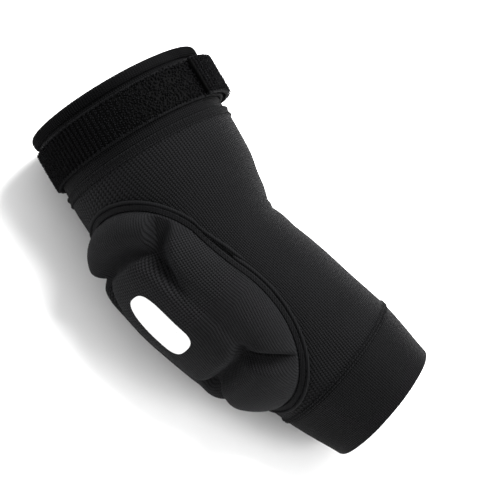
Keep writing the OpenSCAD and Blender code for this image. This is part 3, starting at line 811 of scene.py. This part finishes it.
def relax(piece, free, cap, frames=16):
    """Runs a short cloth simulation: the cloth swells against its seams, and moves at most cap."""
    rest = np.array([v.co for v in piece.data.vertices])
    group = piece.vertex_groups.new(name="held")
    for index, value in enumerate(1 - free):
        group.add([index], float(value), "REPLACE")
    cloth = piece.modifiers.new("Cloth", "CLOTH")
    settings = cloth.settings
    settings.quality = 6
    settings.mass = 0.25
    settings.tension_stiffness = 8
    settings.compression_stiffness = 8
    settings.shear_stiffness = 3
    settings.bending_stiffness = 0.4
    settings.use_pressure = True
    settings.uniform_pressure_force = 4
    settings.vertex_group_mass = "held"
    settings.effector_weights.gravity = 0
    cloth.point_cache.frame_start = 1
    cloth.point_cache.frame_end = frames
    scene = bpy.context.scene
    for number in range(1, frames + 1):
        scene.frame_set(number)
    shaped = piece.evaluated_get(bpy.context.evaluated_depsgraph_get())
    moved = np.array([v.co for v in shaped.data.vertices]) - rest
    length = np.linalg.norm(moved, axis=1, keepdims=True)
    moved *= np.minimum(1, cap / np.maximum(length, 1e-9))
    piece.modifiers.remove(cloth)
    scene.frame_set(1)
    piece.vertex_groups.remove(group)
    piece.data.vertices.foreach_set("co", (rest + moved).ravel())
    piece.data.update()


def make_cover():
    rings, around = 104, 400
    rho, theta = cover_grid(rings, around)
    rho_g, theta_g = np.meshgrid(rho, theta, indexing="ij")
    dive = smoothstep(rho_g, 0.948, COVER_EDGE)
    height = pad_height(rho_g, theta_g) * (1 - dive) + 1.6 * MM * dive
    points = pad_point(rho_g, theta_g, height)
    wrapped = np.concatenate([theta_g, theta_g[:, :1] + 2 * math.pi], 1)
    uv = cover_map(np.concatenate([rho_g, rho_g[:, :1]], 1), wrapped)
    piece = grid_mesh("pad_cover", points, uv, (False, True), cap=True)
    dress(piece, cover_knit)
    edge = dome_rho(theta_g)
    near_groove = np.exp(-(((rho_g - edge) / 0.05) ** 2))
    free = (1 - near_groove) * (1 - smoothstep(rho_g, 0.90, 0.95))
    relax(piece, free.ravel(), 1.2 * MM)
    solid = piece.modifiers.new("Thickness", "SOLIDIFY")
    solid.thickness = 0.9 * MM
    solid.offset = -1
    bpy.context.view_layer.update()
    thick = bpy.data.meshes.new_from_object(piece.evaluated_get(bpy.context.evaluated_depsgraph_get()))
    piece.modifiers.clear()
    piece.data = thick
    return piece


def swept(name, theta, out, h, half_w, half_t, sides=12, power=2.0, ends=False):
    """A trim swept along the oval. out, h, half_w and half_t are numbers or one value per theta."""
    base = pad_point(1, theta, h)
    outward = unit(pad_point(1.02, theta, h) - pad_point(0.98, theta, h))
    up = unit(pad_point(1, theta, h + MM) - base)
    k = np.linspace(0, 2 * math.pi, sides, endpoint=False)
    shape = (np.abs(np.cos(k)) ** power + np.abs(np.sin(k)) ** power) ** (-1 / power)
    out, half_w, half_t = (np.broadcast_to(v, theta.shape)[:, None, None] for v in (out, half_w, half_t))
    ring = (base[:, None] + outward[:, None] * (out + half_w * (shape * np.cos(k))[None, :, None])
            + up[:, None] * half_t * (shape * np.sin(k))[None, :, None])
    length = np.concatenate([[0], np.cumsum(np.linalg.norm(np.diff(base, axis=0), axis=1))])
    cols = np.linspace(0, 2 * math.pi * float(np.mean(half_w)), sides + 1)
    if ends:
        caps = [np.broadcast_to(ring[i].mean(0), ring[i].shape) for i in (0, -1)]
        ring = np.concatenate([caps[:1], ring, caps[1:]])
        length = np.concatenate([length[:1], length, length[-1:]])
    else:
        length = np.append(length, length[-1] + np.linalg.norm(base[0] - base[-1]))
    uv = np.stack(np.meshgrid(length, cols, indexing="ij"), -1)
    return grid_mesh(name, ring, uv, (not ends, True), flip=True)


PIPING_JOIN = 260.0


def make_pad_trim():
    theta = np.linspace(0, 2 * math.pi, 420, endpoint=False)
    sway = 0.10 * MM * np.sin(7 * theta) + 0.08 * MM * np.sin(17 * theta + 1)
    binding = swept("pad_binding", theta, sway, 1.75 * MM, 1.75 * MM, 0.75 * MM, 18, 3.2)
    dress(binding, tape)
    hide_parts("pad_binding")
    bends(binding)
    # the piping starts at the join and its end runs on outside its start
    turn = np.radians(PIPING_JOIN - 362 + np.linspace(0, 364, 430))
    run = np.linspace(0, 364, 430)
    out = np.interp(run, [0, 346, 356, 364], [3.0, 3.0, 4.9, 5.1]) * MM + 0.07 * MM * np.sin(run / 9)
    thick = 1.1 * MM * np.interp(run, [0, 2, 362, 364], [0.75, 1, 1, 0.6])
    piping = swept("pad_piping", turn, out, 1.75 * MM, thick, thick, 12, 2.0, ends=True)
    dress(piping, tape)
    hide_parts("pad_piping")
    bends(piping)
    # one row of stitches near the tape's inner edge and one near its outer edge
    count = 190
    starts, ends, ups = [], [], []
    for rho, lift in ((0.981, 2.45 * MM), (1.019, 2.45 * MM)):
        a = np.linspace(0, 2 * math.pi, count, endpoint=False)
        step = 2 * math.pi / count
        starts.append(pad_point(rho, a, lift))
        ends.append(pad_point(rho, a + step * 0.68, lift))
        ups.append(unit(pad_point(rho, a, lift + MM) - pad_point(rho, a, lift)))
    rows = threads("pad_stitches", *(np.concatenate(v) for v in (starts, ends, ups)), 0.21 * MM, 0.14 * MM)
    dress(rows, thread)
    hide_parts("pad_stitches")
    bends(rows)


def make_foam(node, theta0, theta1):
    """One foam block under the cover. The middle block is the only one that goes all round."""
    whole = theta1 - theta0 >= 360
    theta = np.radians(np.linspace(theta0, theta1, 41))
    if whole:
        theta = theta[:-1]
        low, high = np.full(len(theta), 0.03), dome_rho(theta) - 0.06
    else:
        low, high = dome_rho(theta) + 0.06, np.full(len(theta), 0.93)
    share = np.linspace(0, 1, 12)
    rho = low + (high - low) * share[:, None]
    top = pad_point(rho, theta, np.maximum(pad_height(rho, theta) - 2.4 * MM, 2.2 * MM))
    under = pad_point(rho, theta, 1.9 * MM)[::-1]
    rings = np.concatenate([top, under])
    if whole:
        piece = grid_mesh(node, rings, wrap=(True, True))
    else:
        rings = rings.transpose(1, 0, 2)
        caps = [np.broadcast_to(rings[i].mean(0), rings[i].shape) for i in (0, -1)]
        piece = grid_mesh(node, np.concatenate([caps[:1], rings, caps[1:]]), wrap=(False, True), flip=True)
    dress(piece, foam)
    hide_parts(node)
    return bends(piece)


def make_backing():
    turn = np.linspace(0, 2 * math.pi, 96, endpoint=False)
    rho, theta = np.meshgrid(np.linspace(0.02, 0.97, 30), turn, indexing="ij")
    under, over = pad_point(rho, theta, 0.5 * MM), pad_point(rho, theta, 1.3 * MM)
    piece = grid_mesh("pad_backing", np.concatenate([over, under[::-1]]), wrap=(True, True))
    dress(piece, backing_cloth)
    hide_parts("pad_backing")
    return bends(piece)


MARK_A, MARK_B = 11 * MM, 7 * MM     # half length along the arm and half width across it
MARK_BACK = 13 * MM                  # from the oval's middle towards the upper arm


def make_mark(cover):
    """A plain rounded patch, laid onto the cover and standing a tenth of a millimetre proud."""
    tree = BVHTree.FromPolygons([v.co.copy() for v in cover.data.vertices],
                                [tuple(p.vertices) for p in cover.data.polygons])
    centre_s = UPPER_LEN + PAD_SHIFT - MARK_BACK
    around = np.linspace(0, 2 * math.pi, 72, endpoint=False)
    share, turn = np.meshgrid(np.linspace(0.02, 1, 16), around, indexing="ij")
    shape = (np.abs(np.cos(turn)) ** 3 + np.abs(np.sin(turn)) ** 3) ** (-1 / 3)
    ds, dw = MARK_A * share * shape * np.cos(turn), MARK_B * share * shape * np.sin(turn)
    high = to_row(on_arm(centre_s + ds, PAD_TURN + dw / PHI_R, 40 * MM))
    low = to_row(on_arm(centre_s + ds, PAD_TURN + dw / PHI_R, 0 * ds))
    points = np.empty_like(high)
    for index in np.ndindex(ds.shape):
        start, aim = Vector(high[index]), Vector(low[index] - high[index]).normalized()
        hit = tree.ray_cast(start, aim)[0]
        points[index] = hit - aim * 0.12 * MM
    back = (points - ORIGIN) @ AXES.T
    wrapped = np.concatenate([np.stack([dw, ds], -1), np.stack([dw, ds], -1)[:, :1]], 1)
    piece = grid_mesh("front_mark", back, wrapped, (False, True), cap=True)
    dress(piece, white_print)
    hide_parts("front_mark")
    return bends(piece)


# ---- the rest of the CAD's pieces keep their shape and take a finish ----
FINISHES = {
    "rim_elastic": elastic, "lower_hem_elastic": elastic, "hook_patch": hook, "strap_anchor_stitches": thread,
}


def finish_cad_nodes():
    for node, material in FINISHES.items():
        slots = frame["nodes"][node].data.materials
        for index in range(max(1, len(slots))):
            if index < len(slots):
                slots[index] = material
            else:
                slots.append(material)


# ---- camera, light and floor ----
AZIMUTH, ELEVATION, ROLL = math.radians(-14.4), math.radians(52), math.radians(-45.7)
CAMERA_DISTANCE = 1.6
PICTURE_WIDTH = 0.2764       # width of the picture at the elbow
AIM_ACROSS, AIM_UP = 0.0227, 0.0026    # from the middle of the elbow to the picture's middle


def camera_axes():
    ca, sa, ce, se = math.cos(AZIMUTH), math.sin(AZIMUTH), math.cos(ELEVATION), math.sin(ELEVATION)
    ahead = Vector((sa * ce, ca * ce, -se))
    right = Vector((ca, -sa, 0))
    up = right.cross(ahead)
    across = right * math.cos(ROLL) - up * math.sin(ROLL)
    return across, right * math.sin(ROLL) + up * math.cos(ROLL), ahead


def make_camera():
    across, up, ahead = camera_axes()
    elbow = Vector(to_row(on_arm(UPPER_LEN, 0, -sleeve_r(UPPER_LEN))))
    aim = elbow + across * AIM_ACROSS + up * AIM_UP
    data = bpy.data.cameras.new("camera")
    data.lens = data.sensor_width * CAMERA_DISTANCE / PICTURE_WIDTH
    camera = bpy.data.objects.new("camera", data)
    camera.matrix_world = Matrix((across, up, -ahead)).transposed().to_4x4()
    camera.location = aim - ahead * CAMERA_DISTANCE
    bpy.context.scene.collection.objects.link(camera)
    bpy.context.scene.camera = camera
    return aim


def make_light(name, aim, offset, size, power):
    """A soft area light. offset is (right, up, towards the camera) from the aim, in metres."""
    across, up, ahead = camera_axes()
    place = aim + across * offset[0] + up * offset[1] - ahead * offset[2]
    data = bpy.data.lights.new(name, "AREA")
    data.shape = "RECTANGLE"
    data.size, data.size_y = size
    data.energy = power
    lamp = bpy.data.objects.new(name, data)
    lamp.location = place
    lamp.rotation_euler = (aim - place).to_track_quat("-Z", "Y").to_euler()
    bpy.context.scene.collection.objects.link(lamp)


# offset from the aim (right, up, towards the camera), size and power in watts
LIGHTS = {
    "key_light": ((0.50, 0.70, 0.45), (0.45, 0.6), 20),
    "fill_light": ((-0.8, 0.5, 0.6), (0.8, 0.8), 2.5),
    "edge_light": ((0.9, -0.35, 0.20), (0.3, 0.8), 8),
}
WORLD_STRENGTH = 1.0
FLOOR_SIZE, FLOOR_DROP = 6, 0.4 * MM


def make_studio():
    scene = bpy.context.scene
    aim = make_camera()
    for name, (offset, size, power) in LIGHTS.items():
        make_light(name, aim, offset, size, power)
    world = bpy.data.worlds.new("studio")
    world.use_nodes = True
    background = world.node_tree.nodes["Background"]
    background.inputs["Color"].default_value = (1, 1, 1, 1)
    background.inputs["Strength"].default_value = WORLD_STRENGTH
    scene.world = world
    bpy.ops.mesh.primitive_plane_add(size=FLOOR_SIZE, location=(0, 0, cad_bounds[0].z - FLOOR_DROP))
    floor = bpy.context.object
    floor.name = "floor"
    n = Nodes("pale_floor")
    grain = n.noise(n.object_coordinates(), 60, 2)
    n.link(n.ramp(grain, (0.90, 0.90, 0.90), (0.94, 0.94, 0.94)), n.shader.inputs["Base Color"])
    n.shader.inputs["Roughness"].default_value = 0.9
    floor.data.materials.append(n.material)
    scene.view_settings.view_transform = "Standard"
    scene.view_settings.look = "None"


make_studio()
make_sleeve()
make_rim()
make_upper_cuff()
make_lower_cuff()
seam_band("upper_seam", UPPER_CUFF_LEN - 0.1 * MM, S_SLEEVE0 + 0.1 * MM, 0.4 * MM, "upper_arm", "upper_seam")
seam_band("lower_seam", S_SLEEVE1 - 0.1 * MM, S_CUFF1 + 0.1 * MM, 0.5 * MM, "forearm", "lower_seam")
seam_stitches("upper_seam_stitches", (UPPER_CUFF_LEN + 0.7 * MM, S_SLEEVE0 - 0.7 * MM), 150, 0.48 * MM,
              "upper_arm", "upper_seam_stitches")
seam_stitches("lower_seam_stitches", (S_SLEEVE1 + 0.6 * MM, S_CUFF1 - 0.6 * MM), 128, 0.55 * MM,
              "forearm", "lower_seam_stitches")
make_strap()
make_tab_stitches()
pad_cover = make_cover()
make_mark(pad_cover)
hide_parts("pad_cover")
bends(pad_cover)
make_pad_trim()
make_backing()
SIDE = GROOVE_THETA + 7
make_foam("foam_centre", 0, 360)
make_foam("foam_lower_lobe", -GROOVE_THETA + 7, GROOVE_THETA - 7)
make_foam("foam_upper_lobe", 180 - GROOVE_THETA + 7, 180 + GROOVE_THETA - 7)
make_foam("foam_side_inner", SIDE, 180 - SIDE)
make_foam("foam_side_outer", 180 + SIDE, 360 - SIDE)
finish_cad_nodes()
